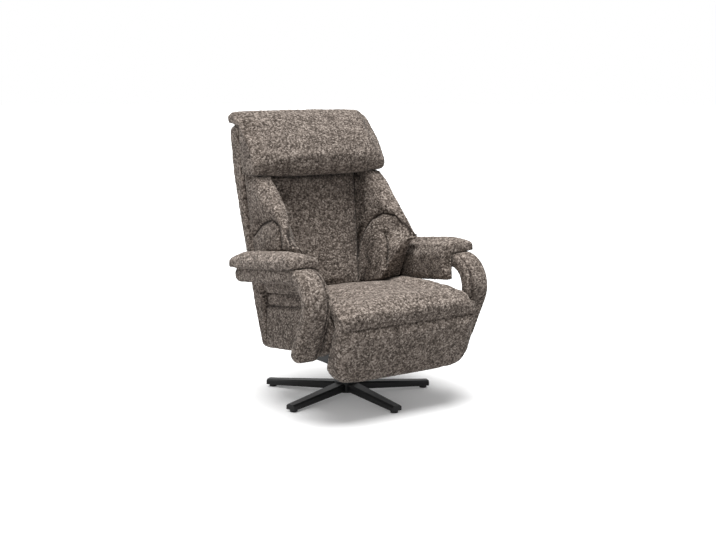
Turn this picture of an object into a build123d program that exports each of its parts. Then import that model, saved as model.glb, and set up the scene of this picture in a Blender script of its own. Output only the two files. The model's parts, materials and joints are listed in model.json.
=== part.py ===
from build123d import *
import math
import os

os.makedirs("parts", exist_ok=True)

# Frame: millimetres, heights from the floor, left side positive in x, front negative in y.
# All depths in the outlines run from the swivel axis.
axis_y = 20             # the swivel axis stands this far behind the middle of the chair
air = 0.4               # clearance round pieces that sit in pockets
running_fit = 0.05      # radial clearance of turning pins and shafts

# Base
spoke_count = 5
spoke_reach = 347
hub_radius = 52
hub_bottom = 14
hub_top = 58
column_radius = 30
column_bore = 20
column_top = 200
spindle_radius = 15
bush_length = 45
bush_flange = 5
flange_radius = 42
flange_thickness = 8
glide_radius = 15
glide_height = 10
glide_inset = 20

# Carriage under the seat
carrier_thickness = 6
plate_margin = 22       # from the carrier bolts to the plate's edges
tube_size = 30
tube_wall = 2.5
tube_front_y = -110
tube_rear_y = 40
bolt_radius = 4
bolt_head_radius = 7.5
bolt_head_height = 6
bolt_x = 80
arm_bolt_radius = 7
arm_bolt_depth = 30
seat_half = 302
board_inner = seat_half - 44
rail_inner = board_inner - 21
plate_thickness = 6
rail_outer = rail_inner + plate_thickness
board_thickness = 20
panel_inner = board_inner + board_thickness + air
panel_outer = seat_half + 8
webbing_rear = 338      # height of the webbing over the rear board
webbing_slope = 0.109   # rise of the webbing towards the front
webbing_thickness = 2.5

# Pivots, as depth and height
recline_pivot = (127, 232)
recline_range = 38
shaft_radius = 10
shaft_eye = 16          # radius of the plate ends round the recline shaft
legrest_pivot = (-395, 335)
legrest_tilt = 18
pin_radius = 5
hinge_eye = 14          # radius of the plate ends round the hinge pins
headrest_pivot = (235, 897)
crank_length = 50
crank_x = 100
spring_x = 110
crank_pin_radius = 4

# Upholstery
back_half = seat_half + 6
arm_inner = panel_outer + 6
arm_outer = arm_inner + 100
arm_depth = 58          # thickness of the arm loop's padded bar
arm_slope = 6.5         # the arm rises this much towards the front
arm_bend = 95           # bend of the arm loop, on its centre line
arm_bend_centre = (-257, 455)
arm_leg_lean = 25.6
arm_leg_length = 184
arm_rear = 165
arm_bevel = 13          # bevel of the padded bar's edges and ends
pad_inner = arm_inner - 29
pad_outer = arm_outer + 8
pad_thickness = 52


def side(x):
    """Plane across the chair at x; its axes are depth and height."""
    return Plane(origin=(x, axis_y, 0), x_dir=(0, 1, 0), z_dir=(1, 0, 0))


def level(z):
    """Horizontal plane at height z; its axes are width and depth."""
    return Plane(origin=(0, axis_y, z), x_dir=(1, 0, 0), z_dir=(0, 0, 1))


# Upright plane on the swivel axis, seen from the front; its axes are width and height
from_front = Plane(origin=(0, axis_y, 0), x_dir=(1, 0, 0), z_dir=(0, -1, 0))


def rounded(corners):
    """Closed outline through (u, v, radius) corners: straight sides, arcs at corners with a radius."""
    count = len(corners)
    starts = []
    ends = []
    for index in range(count):
        before = Vector(*corners[index - 1][:2])
        here = Vector(*corners[index][:2])
        after = Vector(*corners[(index + 1) % count][:2])
        radius = corners[index][2]
        back = (before - here).normalized()
        ahead = (after - here).normalized()
        half_angle = math.radians(back.get_angle(ahead)) / 2
        reach = radius / math.tan(half_angle)
        starts.append(here + back * reach)
        ends.append(here + ahead * reach)
        if radius > 0:
            bisector = (back + ahead).normalized()
            middle = here + bisector * (radius / math.sin(half_angle) - radius)
            ThreePointArc(starts[index], middle, ends[index])
    for index in range(count):
        Line(ends[index], starts[(index + 1) % count])


def turned(pivot, angle, u, v):
    """Point (u along, v across) of a link that hangs from a pivot and leans by an angle."""
    lean = math.radians(angle)
    y = pivot[0] + u * math.sin(lean) - v * math.cos(lean)
    z = pivot[1] - u * math.cos(lean) - v * math.sin(lean)
    return (y, z)


def webbing_height(y):
    """Height of the top of the seat box boards at depth y."""
    return webbing_rear + (tube_rear_y + 10 - y) * webbing_slope


# Star base: a hub with five bevelled, tapering spokes
with BuildPart() as spoke:
    bevel = 6
    for reach, half_width, low, high in (
        (30, 27, 21, 52),
        (spoke_reach - 2 * glide_inset, 21, glide_height, 33),
        (spoke_reach, 20, glide_height, 31),
    ):
        with BuildSketch(Plane(origin=(0, -reach, 0), x_dir=(1, 0, 0), z_dir=(0, -1, 0))):
            with BuildLine():
                Polyline(
                    (-half_width, low),
                    (half_width, low),
                    (half_width, high - bevel),
                    (half_width - bevel, high),
                    (bevel - half_width, high),
                    (-half_width, high - bevel),
                    close=True,
                )
            make_face()
    loft(ruled=True)

with BuildPart() as star_base:
    with BuildSketch(level(hub_bottom)):
        Circle(hub_radius)
    extrude(amount=hub_top - hub_bottom, taper=4)
    with Locations((0, axis_y, 0)):
        with PolarLocations(0, spoke_count):
            add(spoke.part)
    with BuildSketch(level(0)):
        Circle(column_radius + running_fit)
    extrude(amount=hub_top + 20, mode=Mode.SUBTRACT)

with BuildPart() as floor_glides:
    with Locations((0, axis_y, 0)):
        with PolarLocations(spoke_reach - glide_inset, spoke_count, start_angle=-90):
            Cylinder(glide_radius, glide_height, align=(Align.CENTER, Align.CENTER, Align.MIN))

# Column, bearings and spindle
with BuildPart() as base_column:
    with BuildSketch(level(hub_bottom + 2)):
        Circle(column_radius)
        Circle(column_bore, mode=Mode.SUBTRACT)
    extrude(amount=column_top - hub_bottom - 2)

bush_outer = column_bore - running_fit
bush_inner = spindle_radius + running_fit
lower_bush_z = 62
with BuildPart() as column_bushes:
    for start in (lower_bush_z, column_top - bush_length):
        with BuildSketch(level(start)):
            Circle(bush_outer)
            Circle(bush_inner, mode=Mode.SUBTRACT)
        extrude(amount=bush_length)
    with BuildSketch(level(column_top)):
        Circle(column_radius - 2)
        Circle(bush_inner, mode=Mode.SUBTRACT)
    extrude(amount=bush_flange)

flange_z = column_top + bush_flange
carrier_z = flange_z + flange_thickness
groove_z = lower_bush_z - 4
groove_radius = spindle_radius - 2
with BuildPart() as swivel_spindle:
    with BuildSketch(level(groove_z - 5)):
        Circle(spindle_radius)
    extrude(amount=flange_z - groove_z + 5)
    with BuildSketch(level(flange_z)):
        Circle(flange_radius)
    extrude(amount=flange_thickness)
    with BuildSketch(level(groove_z)):
        Circle(spindle_radius + 1)
        Circle(groove_radius, mode=Mode.SUBTRACT)
    extrude(amount=3, mode=Mode.SUBTRACT)

with BuildPart() as spindle_retainer:
    with BuildSketch(level(groove_z + running_fit)):
        Circle(column_bore - 1.5)
        Circle(groove_radius + running_fit, mode=Mode.SUBTRACT)
    extrude(amount=3 - 2 * running_fit)

# Carrier plate, cross tubes and their bolts
tube_z = carrier_z + carrier_thickness
bolt_spots = [(x, y) for x in (-bolt_x, bolt_x) for y in (tube_front_y, tube_rear_y)]
with BuildPart() as carrier_plate:
    with BuildSketch(level(carrier_z)):
        with Locations((0, (tube_front_y + tube_rear_y) / 2)):
            Rectangle(2 * (bolt_x + plate_margin), tube_rear_y - tube_front_y + 2 * plate_margin)
        with Locations(*bolt_spots):
            Circle(bolt_radius + air, mode=Mode.SUBTRACT)
    extrude(amount=carrier_thickness)

with BuildPart() as carrier_bolts:
    for z, length, radius in (
        (carrier_z - bolt_head_height, bolt_head_height, bolt_head_radius),
        (carrier_z, carrier_thickness + tube_size, bolt_radius),
        (tube_z + tube_size, bolt_head_height, bolt_head_radius),
    ):
        with BuildSketch(level(z)):
            with Locations(*bolt_spots):
                if radius > bolt_radius:
                    RegularPolygon(radius, 6)
                else:
                    Circle(radius)
        extrude(amount=length)

with BuildPart() as cross_tube_front:
    with BuildSketch(side(-rail_inner)):
        with Locations((tube_front_y, tube_z + tube_size / 2)):
            Rectangle(tube_size, tube_size)
            Rectangle(tube_size - 2 * tube_wall, tube_size - 2 * tube_wall, mode=Mode.SUBTRACT)
    extrude(amount=2 * rail_inner)
    with BuildSketch(level(tube_z)):
        with Locations(*bolt_spots):
            Circle(bolt_radius + air)
    extrude(amount=tube_size, mode=Mode.SUBTRACT)

with BuildPart() as cross_tube_rear:
    with Locations((0, tube_rear_y - tube_front_y, 0)):
        add(cross_tube_front.part)

# Seat rails: side plates that carry the recline shaft and the legrest hinge
rail_outline = [
    (recline_pivot[0], recline_pivot[1] - shaft_eye),
    (-50, 224),
    (-150, 206),
    (-265, 206),
    (-298, 250),
    (-310, 296),
    (legrest_pivot[0], legrest_pivot[1] - hinge_eye),
    (legrest_pivot[0], legrest_pivot[1] + hinge_eye),
    (-250, 336),
    (60, 266),
    (recline_pivot[0], recline_pivot[1] + shaft_eye),
]
with BuildPart() as seat_rail_left:
    with BuildSketch(side(rail_inner)):
        with BuildLine():
            Polyline(*rail_outline, close=True)
        make_face()
        with Locations(recline_pivot):
            Circle(shaft_eye)
            Circle(shaft_radius + running_fit, mode=Mode.SUBTRACT)
        with Locations(legrest_pivot):
            Circle(hinge_eye)
            Circle(pin_radius + running_fit, mode=Mode.SUBTRACT)
    extrude(amount=plate_thickness)

with BuildPart() as seat_rail_right:
    mirror(seat_rail_left.part, about=Plane.YZ)

# Seat box: four boards and the webbing over them
box_rear = 60
box_front = -343
front_board_low = 306
arm_direction = math.radians(arm_leg_lean)
arm_leg_top = (
    arm_bend_centre[0] - arm_bend * math.cos(arm_direction),
    arm_bend_centre[1] - arm_bend * math.sin(arm_direction),
)
arm_bolt_spots = [
    (arm_leg_top[0] + along * math.sin(arm_direction), arm_leg_top[1] - along * math.cos(arm_direction))
    for along in (80, 130)
]
with BuildPart() as seat_board_left:
    with BuildSketch(side(board_inner)):
        with BuildLine():
            Polyline(
                (box_rear, 248),
                (box_rear, webbing_height(box_rear)),
                (box_front, webbing_height(box_front)),
                (box_front, front_board_low),
                (box_front + 35, 272),
                close=True,
            )
        make_face()
        with Locations(*arm_bolt_spots):
            Circle(arm_bolt_radius + air, mode=Mode.SUBTRACT)
    extrude(amount=board_thickness)

with BuildPart() as seat_board_right:
    mirror(seat_board_left.part, about=Plane.YZ)

with BuildPart() as seat_board_front:
    with BuildSketch(side(-board_inner)):
        with BuildLine():
            Polyline(
                (box_front, front_board_low),
                (box_front, webbing_height(box_front)),
                (box_front + board_thickness, webbing_height(box_front + board_thickness)),
                (box_front + board_thickness, front_board_low),
                close=True,
            )
        make_face()
    extrude(amount=2 * board_inner)
    for x in (-rail_outer - 2, rail_inner - 2):
        with BuildSketch(side(x)):
            with Locations((box_front + board_thickness / 2, 314)):
                Rectangle(board_thickness + 2, 74)
        extrude(amount=plate_thickness + 4, mode=Mode.SUBTRACT)

with BuildPart() as seat_board_rear:
    with BuildSketch(side(-board_inner)):
        with BuildLine():
            Polyline(
                (box_rear - board_thickness, 274),
                (box_rear - board_thickness, webbing_height(box_rear - board_thickness)),
                (box_rear, webbing_height(box_rear)),
                (box_rear, 274),
                close=True,
            )
        make_face()
    extrude(amount=2 * board_inner)

# Hexagonal spacers between the rails and the seat box
spacer_spots = [(-230, 300), (-60, 276), (30, 260)]
spacer_radius = 7
with BuildPart() as box_spacers:
    for start in (rail_outer, -board_inner):
        with BuildSketch(side(start)):
            with Locations(*spacer_spots):
                RegularPolygon(spacer_radius, 6)
        extrude(amount=board_inner - rail_outer)

strap_width = 60
with BuildPart() as seat_webbing:
    for x in (-195, -65, 65, 195):
        with BuildSketch(side(x - strap_width / 2)):
            with BuildLine():
                Polyline(
                    (box_rear, webbing_height(box_rear)),
                    (box_rear, webbing_height(box_rear) + webbing_thickness),
                    (box_front, webbing_height(box_front) + webbing_thickness),
                    (box_front, webbing_height(box_front)),
                    close=True,
                )
            make_face()
        extrude(amount=strap_width)

# Seat cushion: a crowned pad with a front roll, its core let in between the side panels
seat_outline = [
    (98, 379, 0),
    (100, 424, 28),
    (-130, 474, 500),
    (-372, 453, 50),
    (-430, 404, 28),
    (-427, 378, 0),
    (-377, 378, 0),
    (-345, 412, 0),
    (-200, 419, 0),
]
seat_bevel = 20         # the sides are drawn in by this much at the top
with BuildPart() as seat_cushion:
    with BuildSketch(side(-seat_half)):
        with BuildLine():
            rounded(seat_outline)
        make_face()
    extrude(amount=2 * seat_half)
    with BuildSketch(from_front):
        with BuildLine():
            Polyline(
                (-seat_half, 370),
                (seat_half, 370),
                (seat_half, 430),
                (seat_half - seat_bevel, 452),
                (0.5 * seat_half, 467),
                (0, 474),
                (-0.5 * seat_half, 467),
                (seat_bevel - seat_half, 452),
                (-seat_half, 430),
                close=True,
            )
        make_face()
    extrude(amount=500, both=True, mode=Mode.INTERSECT)
    with BuildSketch(level(370)):
        with BuildLine():
            Polyline(
                (-seat_half, 110),
                (seat_half, 110),
                (seat_half, -388),
                (seat_half - seat_bevel, -418),
                (0.5 * seat_half, -430),
                (-0.5 * seat_half, -430),
                (seat_bevel - seat_half, -418),
                (-seat_half, -388),
                close=True,
            )
        make_face()
    extrude(amount=120, mode=Mode.INTERSECT)
    core_half = board_inner + board_thickness - 2
    core_rise = webbing_thickness + air
    with BuildSketch(side(-core_half)):
        with BuildLine():
            Polyline(
                (box_rear, webbing_height(box_rear) + core_rise),
                (box_rear, 400),
                (-200, 425),
                (box_front, 418),
                (box_front, webbing_height(box_front) + core_rise),
                close=True,
            )
        make_face()
    extrude(amount=2 * core_half)

with BuildPart() as seat_side_panel_left:
    with BuildSketch(side(panel_inner)):
        with BuildLine():
            rounded(
                [
                    (100, 213, 8),
                    (100, 374, 8),
                    (-200, 415, 60),
                    (-345, 407, 12),
                    (-360, 378, 8),
                    (-352, 322, 12),
                    (-326, 274, 12),
                    (-270, 250, 30),
                    (-105, 238, 80),
                ]
            )
        make_face()
        with Locations(*arm_bolt_spots):
            Circle(arm_bolt_radius + air, mode=Mode.SUBTRACT)
    extrude(amount=panel_outer - panel_inner)
    outer_face = faces().sort_by(Axis.X)[-1]
    chamfer(outer_face.outer_wire().edges(), 6)

with BuildPart() as seat_side_panel_right:
    mirror(seat_side_panel_left.part, about=Plane.YZ)

# Arm loops: one padded bar, bent round at the front, bolted to the seat box at its lower end
arm_middle = (arm_inner + arm_outer) / 2
rise = math.radians(arm_slope)
arm_forward = (-math.cos(rise), math.sin(rise))
bend_start = (
    arm_bend_centre[0] + arm_bend * math.sin(rise),
    arm_bend_centre[1] + arm_bend * math.cos(rise),
)
bar_length = (arm_rear - bend_start[0]) / math.cos(rise)
bar_end = (bend_start[0] - bar_length * arm_forward[0], bend_start[1] - bar_length * arm_forward[1])
bend_half = math.radians((90 - arm_slope + 180 + arm_leg_lean) / 2)
bend_middle = (
    arm_bend_centre[0] + arm_bend * math.cos(bend_half),
    arm_bend_centre[1] + arm_bend * math.sin(bend_half),
)
leg_end = (
    arm_leg_top[0] + arm_leg_length * math.sin(arm_direction),
    arm_leg_top[1] - arm_leg_length * math.cos(arm_direction),
)


def across_arm(along, x=0):
    """Plane across the arm bar, this far ahead of its rear end; its axes are width and thickness."""
    y = bar_end[0] + along * arm_forward[0]
    z = bar_end[1] + along * arm_forward[1]
    return Plane(
        origin=(x, axis_y + y, z), x_dir=(1, 0, 0), z_dir=(0, arm_forward[0], arm_forward[1])
    )


with BuildPart() as arm_loop_left:
    with BuildLine(side(arm_middle)):
        Line(bar_end, bend_start)
        ThreePointArc(bend_start, bend_middle, arm_leg_top)
        Line(arm_leg_top, leg_end)
    with BuildSketch(across_arm(0, arm_middle)):
        Rectangle(arm_outer - arm_inner, arm_depth)
        chamfer(vertices(), arm_bevel)
    sweep()
    chamfer(faces().sort_by(Axis.Z)[0].edges(), arm_bevel)
    chamfer(faces().sort_by(Axis.Y)[-1].edges(), arm_bevel)
    with BuildSketch(side(arm_inner)):
        with Locations(*arm_bolt_spots):
            Circle(arm_bolt_radius + air)
    extrude(amount=arm_bolt_depth + air, mode=Mode.SUBTRACT)

with BuildPart() as arm_loop_right:
    mirror(arm_loop_left.part, about=Plane.YZ)

with BuildPart() as arm_bolts:
    for start in (board_inner, -arm_inner - arm_bolt_depth):
        with BuildSketch(side(start)):
            with Locations(*arm_bolt_spots):
                Circle(arm_bolt_radius)
        extrude(amount=arm_inner + arm_bolt_depth - board_inner)
    for start in (board_inner - 6, -board_inner):
        with BuildSketch(side(start)):
            with Locations(*arm_bolt_spots):
                RegularPolygon(arm_bolt_radius + 4, 6)
        extrude(amount=6)

# Arm pads: a crowned slab on the bar, with a padded panel hanging on the inner side
pad_base = arm_depth / 2 + air
pad_rear_inner = arm_inner + 6
flap_outer = arm_inner - 3
flap_drop = -74
flap_rear = 60


def pad_outline(inner, low, inset):
    """Section of the arm pad: slab over the bar, with the hanging panel when low is below it."""
    top = pad_base + pad_thickness
    outline = [
        (pad_outer - inset, pad_base, 0),
        (pad_outer - inset, top - 12 - inset, 16),
        ((inner + pad_outer) / 2, top - inset, 0.7 * (pad_outer - inner)),
        (inner + inset, top - 10 - inset, 18),
    ]
    if low < pad_base:
        outline += [
            (inner + inset, low + inset, 9 - 0.7 * inset),
            (flap_outer - inset, low + inset, 0),
            (flap_outer - inset, pad_base, 0),
        ]
    else:
        outline += [(inner + inset, pad_base, 0)]
    return outline


with BuildPart() as arm_pad_left:
    for along, inset in ((flap_rear, 0), (412, 0), (438, 4), (446, 8)):
        with BuildSketch(across_arm(along)):
            with BuildLine():
                rounded(pad_outline(pad_inner, flap_drop, inset))
            make_face()
    loft(ruled=True)
    for along, inset in ((-24, 9), (-18, 4), (-6, 0), (flap_rear, 0)):
        with BuildSketch(across_arm(along)):
            with BuildLine():
                rounded(pad_outline(pad_rear_inner, pad_base, inset))
            make_face()
    loft(ruled=True)

with BuildPart() as arm_pad_right:
    mirror(arm_pad_left.part, about=Plane.YZ)

# Back plates: flat steel uprights in the shell, from the recline shaft to the headrest hinge
plate_inner = rail_outer + 3.5
back_plate_outline = [
    (recline_pivot[0] + shaft_eye, recline_pivot[1] - 4),
    (166, 330),
    (234, 527),
    (281, 636),
    (311, 746),
    (338, 868),
    (340, headrest_pivot[1] + hinge_eye),
    (headrest_pivot[0], headrest_pivot[1] + hinge_eye),
    (headrest_pivot[0], headrest_pivot[1] - hinge_eye),
    (308, headrest_pivot[1] - hinge_eye),
    (278, 752),
    (247, 644),
    (200, 533),
    (133, 334),
    (recline_pivot[0] - shaft_eye, recline_pivot[1] + 4),
]
with BuildPart() as back_plate_left:
    with BuildSketch(side(plate_inner)):
        with BuildLine():
            Polyline(*back_plate_outline, close=True)
        make_face()
        with Locations(recline_pivot):
            Circle(shaft_eye + 0.5)
            Circle(shaft_radius + running_fit, mode=Mode.SUBTRACT)
        with Locations(headrest_pivot):
            Circle(hinge_eye)
            Circle(pin_radius + running_fit, mode=Mode.SUBTRACT)
    extrude(amount=plate_thickness)

with BuildPart() as back_plate_right:
    mirror(back_plate_left.part, about=Plane.YZ)

# Recline shaft with its crank and pin
shaft_half = plate_inner + plate_thickness
crank_angle = recline_range / 2
crank_pin_spot = turned(recline_pivot, crank_angle, crank_length, 0)
with BuildPart() as recline_shaft:
    with BuildSketch(side(-shaft_half)):
        with Locations(recline_pivot):
            Circle(shaft_radius)
    extrude(amount=2 * shaft_half)

crank_half = 5
crank_tip = 9           # radius of the crank's end round its pin
with BuildPart() as recline_crank:
    with BuildSketch(side(crank_x - crank_half)):
        with BuildLine():
            Polyline(
                turned(recline_pivot, crank_angle, 0, 14),
                turned(recline_pivot, crank_angle, crank_length, crank_tip),
                turned(recline_pivot, crank_angle, crank_length, -crank_tip),
                turned(recline_pivot, crank_angle, 0, -14),
                close=True,
            )
        make_face()
        with Locations(recline_pivot):
            Circle(shaft_eye)
            Circle(shaft_radius + running_fit, mode=Mode.SUBTRACT)
        with Locations(crank_pin_spot):
            Circle(crank_tip)
            Circle(crank_pin_radius + running_fit, mode=Mode.SUBTRACT)
    extrude(amount=2 * crank_half)

with BuildPart() as crank_pin:
    with BuildSketch(side(crank_x - crank_half - 4)):
        with Locations(crank_pin_spot):
            Circle(crank_pin_radius)
    extrude(amount=2 * crank_half + 18)
    with BuildSketch(side(crank_x - crank_half - 4)):
        with Locations(crank_pin_spot):
            Circle(crank_pin_radius + 3)
    extrude(amount=4)

# Gas spring: cylinder on the front cross tube, rod end round the crank pin with clearance
spring_z = recline_pivot[1] - crank_length * (1 + math.cos(math.radians(crank_angle))) / 2
spring_travel = 2 * crank_length * math.sin(math.radians(crank_angle))
eye_half = 4
cylinder_radius = 11
cylinder_rear = 62
cylinder_front = -92
rod_radius = 4
eye_radius = 11
with BuildPart() as gas_spring_cylinder:
    with BuildSketch(Plane(origin=(spring_x, axis_y + cylinder_rear, spring_z), z_dir=(0, -1, 0))):
        Circle(cylinder_radius)
    extrude(amount=cylinder_rear - cylinder_front)
    with BuildSketch(Plane(origin=(spring_x, axis_y + cylinder_rear, spring_z), z_dir=(0, -1, 0))):
        Circle(rod_radius + running_fit)
    extrude(amount=cylinder_rear - cylinder_front - 14, mode=Mode.SUBTRACT)
    with BuildSketch(side(spring_x - eye_half)):
        with Locations((tube_front_y, spring_z)):
            Circle(eye_radius)
        with Locations(((tube_front_y + cylinder_front) / 2, spring_z)):
            Rectangle(cylinder_front - tube_front_y, eye_radius)
        with Locations((tube_front_y, spring_z)):
            Circle(crank_pin_radius + running_fit, mode=Mode.SUBTRACT)
    extrude(amount=2 * eye_half)

lug_inner = spring_x + eye_half + 0.5
with BuildPart() as gas_spring_bracket:
    with BuildSketch(side(lug_inner)):
        with BuildLine():
            Polyline(
                (tube_front_y - 13, tube_z),
                (tube_front_y - 10, spring_z),
                (tube_front_y + 10, spring_z),
                (tube_front_y + 13, tube_z),
                close=True,
            )
        make_face()
        with Locations((tube_front_y, spring_z)):
            Circle(10)
    extrude(amount=plate_thickness)
    with BuildSketch(side(spring_x - eye_half - 1)):
        with Locations((tube_front_y, spring_z)):
            Circle(crank_pin_radius)
    extrude(amount=lug_inner - spring_x + eye_half + 1)

rod_front = cylinder_front + 14 + spring_travel + 6
eye_clearance = 1.9
with BuildPart() as gas_spring_rod:
    rod_eye_y = crank_pin_spot[0]
    rod_rear = rod_eye_y - eye_radius + 2
    with BuildSketch(Plane(origin=(spring_x, axis_y + rod_rear, spring_z), z_dir=(0, -1, 0))):
        Circle(rod_radius)
    extrude(amount=rod_rear - rod_front)
    with BuildSketch(side(spring_x - eye_half)):
        with Locations((rod_eye_y, spring_z)):
            Circle(eye_radius)
    extrude(amount=2 * eye_half)
    with BuildSketch(side(spring_x - eye_half)):
        with Locations((rod_eye_y, spring_z)):
            Circle(crank_pin_radius + eye_clearance)
    extrude(amount=2 * eye_half, mode=Mode.SUBTRACT)

# Back shell: padded slab with set-in side strips, slotted for the steel uprights and the rails
shell_low = 208
shell_high = 1072
shell_stations = [(310, 112), (400, 132), (530, 196), (640, 245), (755, 270), (980, 306)]


def shell_front(z):
    """Depth of the shell's front face at height z."""
    for (low, y_low), (high, y_high) in zip(shell_stations, shell_stations[1:]):
        if z <= high:
            return y_low + (y_high - y_low) * (z - low) / (high - low)
    return shell_stations[-1][1]


def shell_outline(inset):
    """Side outline of the shell, drawn in by inset at its rear, top and bottom."""
    rear = [(205, 365), (265, 568), (310, 705), (361, 880), (382, 1030)]
    return (
        [(103, shell_low + inset, 16), (150 - inset, shell_low + inset, 16)]
        + [(y - inset, z, 0) for y, z in rear]
        + [(384 - inset, shell_high - inset, 14), (308, shell_high - inset, 0)]
        + [(y, z, 0) for z, y in reversed(shell_stations)]
    )


shell_welt = 9          # the side strips lie this far inside the rear panel
with BuildPart() as back_shell:
    for half, inset in ((back_half, shell_welt), (back_half - 2 * shell_welt, 0)):
        with BuildSketch(side(-half)):
            with BuildLine():
                rounded(shell_outline(inset))
            make_face()
        extrude(amount=2 * half)
    with BuildSketch(side(-shaft_half - air)):
        with Locations(recline_pivot):
            Circle(shaft_radius + air)
    extrude(amount=2 * (shaft_half + air), mode=Mode.SUBTRACT)
    for start in (plate_inner - air, -plate_inner - plate_thickness - air):
        with BuildSketch(side(start)):
            with BuildLine():
                Polyline(*back_plate_outline, close=True)
            make_face()
            with Locations(recline_pivot):
                Circle(shaft_eye + 0.5)
            offset(amount=air, kind=Kind.INTERSECTION)
        extrude(amount=plate_thickness + 2 * air, mode=Mode.SUBTRACT)
    slot_room = 1.5
    rail_slot = plate_thickness + 2 * slot_room
    for start in (rail_inner - slot_room, -rail_outer - slot_room):
        with BuildSketch(side(start)):
            with Locations(recline_pivot):
                Circle(shaft_eye + slot_room)
            with BuildLine():
                Polyline(
                    (recline_pivot[0], recline_pivot[1] + shaft_eye + slot_room),
                    (recline_pivot[0] - 60, recline_pivot[1] + 56),
                    (recline_pivot[0] - 60, recline_pivot[1] - 60),
                    (recline_pivot[0] + 8, recline_pivot[1] - 60),
                    (recline_pivot[0] + 8, recline_pivot[1]),
                    close=True,
                )
            make_face()
        extrude(amount=rail_slot, mode=Mode.SUBTRACT)
    with BuildSketch(side(crank_x - crank_half - air)):
        with Locations(recline_pivot):
            Circle(shaft_eye + 0.5)
        with Locations((recline_pivot[0] + 8, recline_pivot[1] - 20)):
            Rectangle(34, 40)
    extrude(amount=2 * (crank_half + air), mode=Mode.SUBTRACT)

# Back cushions: their rear faces follow the shell, their fronts lean by the back's slope
back_foot = 427         # height at which the back's front meets the seat
back_lean = 0.317       # the front leans back this much per unit of height
seam_spread = 0.156     # the seams of the V spread this much per unit of height


def panel_front(z):
    """Depth of the back's front surface at the seams of the centre cushion."""
    return 123 + back_lean * (z - back_foot)


def seam_half(z):
    """Half width of the V-shaped centre cushion at height z."""
    return seat_half / 2 + 1 + seam_spread * (z - back_foot)


cushion_seat = 0.3      # the cushions are sewn this close to the shell and to each other
centre_low = 434
centre_high = 862
centre_crown = 14       # the middle stands this far before the seams
centre_slope = 62       # width of the sloping strip beside each seam
with BuildPart() as back_centre_cushion:
    with BuildSketch(side(-back_half)):
        with BuildLine():
            Polyline(
                (panel_front(centre_low) - centre_crown + 10, centre_low),
                (panel_front(centre_low + 10) - centre_crown, centre_low + 10),
                (panel_front(centre_high - 10) - centre_crown, centre_high - 10),
                (panel_front(centre_high) - centre_crown + 10, centre_high),
                *[(shell_front(z) - cushion_seat, z) for z in (centre_high, 755, 640, 530, centre_low)],
                close=True,
            )
        make_face()
    extrude(amount=2 * back_half)
    with BuildSketch(from_front):
        with BuildLine():
            Polyline(
                (-seam_half(centre_low) + cushion_seat, centre_low),
                (seam_half(centre_low) - cushion_seat, centre_low),
                (seam_half(centre_high) - cushion_seat, centre_high),
                (-seam_half(centre_high) + cushion_seat, centre_high),
                close=True,
            )
        make_face()
    extrude(amount=400, both=True, mode=Mode.INTERSECT)
    for hand in (-1, 1):
        seam_x = seam_half(centre_low)
        seam_y = panel_front(centre_low)
        with BuildSketch(level(centre_low)):
            with BuildLine():
                Polyline(
                    (hand * (seam_x + 20), seam_y + 20 * centre_crown / centre_slope),
                    (hand * (seam_x - centre_slope), seam_y - centre_crown),
                    (hand * (seam_x + 20), seam_y - 2 * centre_crown),
                    close=True,
                )
            make_face()
        extrude(
            amount=1.1 * (centre_high - centre_low),
            dir=(hand * seam_spread, back_lean, 1),
            mode=Mode.SUBTRACT,
        )

# Wings: a prism that leans with the back, trimmed to the wing's side outline and notched for the arm
wing_low = 434
wing_high = 865
wing_inner_high = 858
wing_outer = back_half - 1
wing_arm_inner = pad_inner - 6
wing_arm_rear = 117
wing_arm_top = 618
wing_front = [
    (96, wing_low),
    (14, 456),
    (-58, wing_arm_top - 6),
    (-64, 626),
    (-36, 650),
    (28, 722),
    (134, 838),
    (174, wing_high),
]
wing_rear = [(shell_front(z) - cushion_seat, z) for z in (wing_high, 755, 640, 530, wing_low)]
with BuildPart() as back_wing_left:
    with BuildSketch(level(wing_low)):
        with BuildLine():
            Polyline(
                (seam_half(wing_low), 260),
                (seam_half(wing_low), panel_front(wing_low)),
                (seam_half(wing_low) + 58, -138),
                (back_half + 12, -138),
                (back_half + 12, 260),
                close=True,
            )
        make_face()
    extrude(amount=1.1 * (wing_high - wing_low), dir=(seam_spread, back_lean, 1))
    with BuildSketch(side(0)):
        with BuildLine():
            Polyline(*wing_front, *wing_rear, close=True)
        make_face()
    extrude(amount=wing_outer, mode=Mode.INTERSECT)
    with BuildSketch(from_front):
        with BuildLine():
            Polyline(
                (0, wing_inner_high),
                (seam_half(wing_inner_high) + 8, wing_inner_high),
                (wing_outer, wing_high),
                (wing_outer, wing_high + 60),
                (0, wing_high + 60),
                close=True,
            )
        make_face()
    extrude(amount=400, both=True, mode=Mode.SUBTRACT)
    with BuildSketch(side(wing_arm_inner)):
        with Locations((wing_arm_rear, wing_arm_top)):
            Rectangle(300, 300, align=(Align.MAX, Align.MAX))
    extrude(amount=80, mode=Mode.SUBTRACT)

with BuildPart() as back_wing_right:
    mirror(back_wing_left.part, about=Plane.YZ)

# Headrest: pillow with a rear lobe over the shell's top, hinged at its lower edge
headrest_half = back_half + 5
headrest_welt = 8       # the ends are drawn in by this much
headrest_low = 871      # lower edge in the middle
headrest_bow = 18       # the lower edge rises this much to both ends
bracket_inner = plate_inner - plate_thickness - 1
headrest_bracket_outline = [
    (headrest_pivot[0] - 13, headrest_pivot[1]),
    (headrest_pivot[0] + 13, headrest_pivot[1]),
    (286, 1020),
    (264, 1026),
]


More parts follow.
